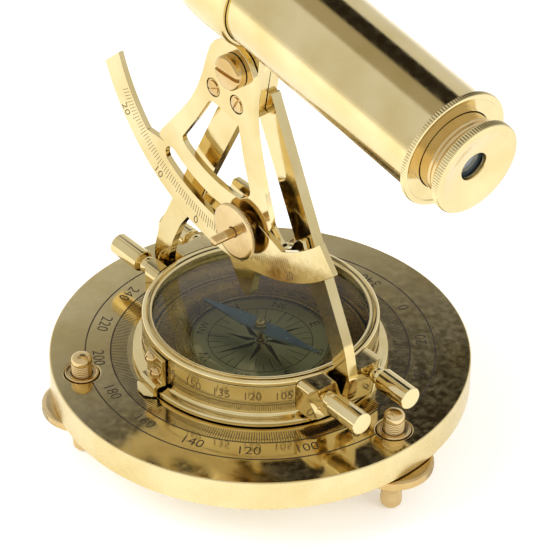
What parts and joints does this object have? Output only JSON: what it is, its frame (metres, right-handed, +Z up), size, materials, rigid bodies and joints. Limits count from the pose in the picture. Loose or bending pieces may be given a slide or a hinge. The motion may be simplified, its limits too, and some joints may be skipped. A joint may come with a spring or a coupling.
{
  "type": "alidade with compass and levelling base",
  "caption": "Brass alidade: tilting telescope with a slotted degree arc on an A-frame, over a turning compass box on a round levelling base.",
  "frame": {"origin": "on the azimuth axis, in the plane of the levelling feet", "axes": "+Z up; +X along the telescope towards the eyepiece; the degree arc is on the -Y side"},
  "size_m": [0.2312, 0.15, 0.229],
  "materials": {
    "polished_brass": "lacquered mirror polish",
    "screw_brass": "turned and polished",
    "dial_brass": "engraved",
    "compass_card": "satin, etched and filled",
    "blued_steel": "brushed",
    "glass": "clear"
  },
  "bodies": {
    "base": {"base_plate": "polished_brass", "levelling_bush_1": "screw_brass", "levelling_bush_2": "screw_brass", "levelling_bush_3": "screw_brass"},
    "levelling_post_1": {"levelling_screw_1": "screw_brass"},
    "levelling_wheel_1": {"levelling_wheel_1": "screw_brass"},
    "levelling_post_2": {"levelling_screw_2": "screw_brass"},
    "levelling_wheel_2": {"levelling_wheel_2": "screw_brass"},
    "levelling_post_3": {"levelling_screw_3": "screw_brass"},
    "levelling_wheel_3": {"levelling_wheel_3": "screw_brass"},
    "alidade": {"azimuth_spindle": "polished_brass", "bezel": "polished_brass", "clamp_plate": "polished_brass", "clamp_stud": "screw_brass", "compass_box": "polished_brass", "compass_glass": "glass", "cross_plate": "polished_brass", "cross_rivet_1": "polished_brass", "cross_rivet_2": "polished_brass", "dial_plate": "dial_brass", "foot_bracket_front": "polished_brass", "foot_bracket_rear": "polished_brass", "frame_leg_front": "polished_brass", "frame_leg_rear": "polished_brass", "index_bracket": "polished_brass", "index_screw_1": "screw_brass", "index_screw_2": "screw_brass", "leg_pin_front": "polished_brass", "leg_pin_rear": "polished_brass", "needle_pin": "polished_brass", "pivot_bolt": "screw_brass", "pivot_nut": "screw_brass", "rose_card": "compass_card", "spindle_nut": "polished_brass", "spindle_washer": "polished_brass"},
    "needle": {"compass_needle": "blued_steel", "needle_cap": "polished_brass"},
    "clamp_nut": {"clamp_nut": "screw_brass"},
    "thumb_screw_1": {"thumb_screw_1": "screw_brass"},
    "thumb_screw_2": {"thumb_screw_2": "screw_brass"},
    "thumb_screw_3": {"thumb_screw_3": "screw_brass"},
    "thumb_screw_4": {"thumb_screw_4": "screw_brass"},
    "telescope": {"sector_plate": "polished_brass", "saddle_web": "polished_brass", "saddle_screw_1": "screw_brass", "saddle_screw_2": "screw_brass", "objective_barrel": "polished_brass", "centre_collar": "polished_brass", "eyepiece_barrel": "polished_brass", "objective_cell": "polished_brass", "objective_lens": "glass", "end_ring": "polished_brass"},
    "eyepiece": {"draw_tube": "polished_brass", "eyecup": "polished_brass", "eye_lens": "glass"}
  },
  "joints": [
    {"name": "azimuth_turn", "type": "hinge", "parent": "base", "child": "alidade", "pos_m": [0, 0, 0.0335], "axis": [0, 0, 1], "continuous": true},
    {"name": "telescope_tilt", "type": "hinge", "parent": "alidade", "child": "telescope", "pos_m": [0, 0, 0.1563], "axis": [0, 1, 0], "range_deg": [-36, 4.5]},
    {"name": "needle_swing", "type": "hinge", "parent": "alidade", "child": "needle", "pos_m": [0, 0, 0.0433], "axis": [0, 0, 1], "continuous": true},
    {"name": "eyepiece_focus", "type": "slide", "parent": "telescope", "child": "eyepiece", "axis": [0.9891, 0, -0.1469], "range_m": [-0.006, 0.012]},
    {"name": "clamp_nut_turn", "type": "hinge", "parent": "alidade", "child": "clamp_nut", "pos_m": [0.0042, -0.0147, 0.094], "axis": [0, -1, 0], "continuous": true},
    {"name": "thumb_screw_1_turn", "type": "hinge", "parent": "alidade", "child": "thumb_screw_1", "pos_m": [0.055, -0.011, 0.0467], "axis": [1, 0, 0], "continuous": true},
    {"name": "thumb_screw_2_turn", "type": "hinge", "parent": "alidade", "child": "thumb_screw_2", "pos_m": [0.055, 0.011, 0.0467], "axis": [1, 0, 0], "continuous": true},
    {"name": "thumb_screw_3_turn", "type": "hinge", "parent": "alidade", "child": "thumb_screw_3", "pos_m": [-0.055, -0.011, 0.0467], "axis": [-1, 0, 0], "continuous": true},
    {"name": "thumb_screw_4_turn", "type": "hinge", "parent": "alidade", "child": "thumb_screw_4", "pos_m": [-0.055, 0.011, 0.0467], "axis": [-1, 0, 0], "continuous": true},
    {"name": "levelling_1_travel", "type": "slide", "parent": "base", "child": "levelling_post_1", "axis": [0, 0, 1], "range_m": [-0.003, 0]},
    {"name": "levelling_1_turn", "type": "hinge", "parent": "levelling_post_1", "child": "levelling_wheel_1", "pos_m": [0.06415, 0.00674, 0.0192], "axis": [0, 0, 1], "range_deg": [0, 1080]},
    {"name": "levelling_2_travel", "type": "slide", "parent": "base", "child": "levelling_post_2", "axis": [0, 0, 1], "range_m": [-0.003, 0]},
    {"name": "levelling_2_turn", "type": "hinge", "parent": "levelling_post_2", "child": "levelling_wheel_2", "pos_m": [-0.03791, 0.05218, 0.0192], "axis": [0, 0, 1], "range_deg": [0, 1080]},
    {"name": "levelling_3_travel", "type": "slide", "parent": "base", "child": "levelling_post_3", "axis": [0, 0, 1], "range_m": [-0.003, 0]},
    {"name": "levelling_3_turn", "type": "hinge", "parent": "levelling_post_3", "child": "levelling_wheel_3", "pos_m": [-0.02878, -0.05772, 0.0192], "axis": [0, 0, 1], "range_deg": [0, 1080]}
  ],
  "couplings": [
    {"joint": "levelling_1_turn", "follows": "levelling_1_travel", "rad_per_m": -6283.2},
    {"joint": "levelling_2_turn", "follows": "levelling_2_travel", "rad_per_m": -6283.2},
    {"joint": "levelling_3_turn", "follows": "levelling_3_travel", "rad_per_m": -6283.2}
  ]
}
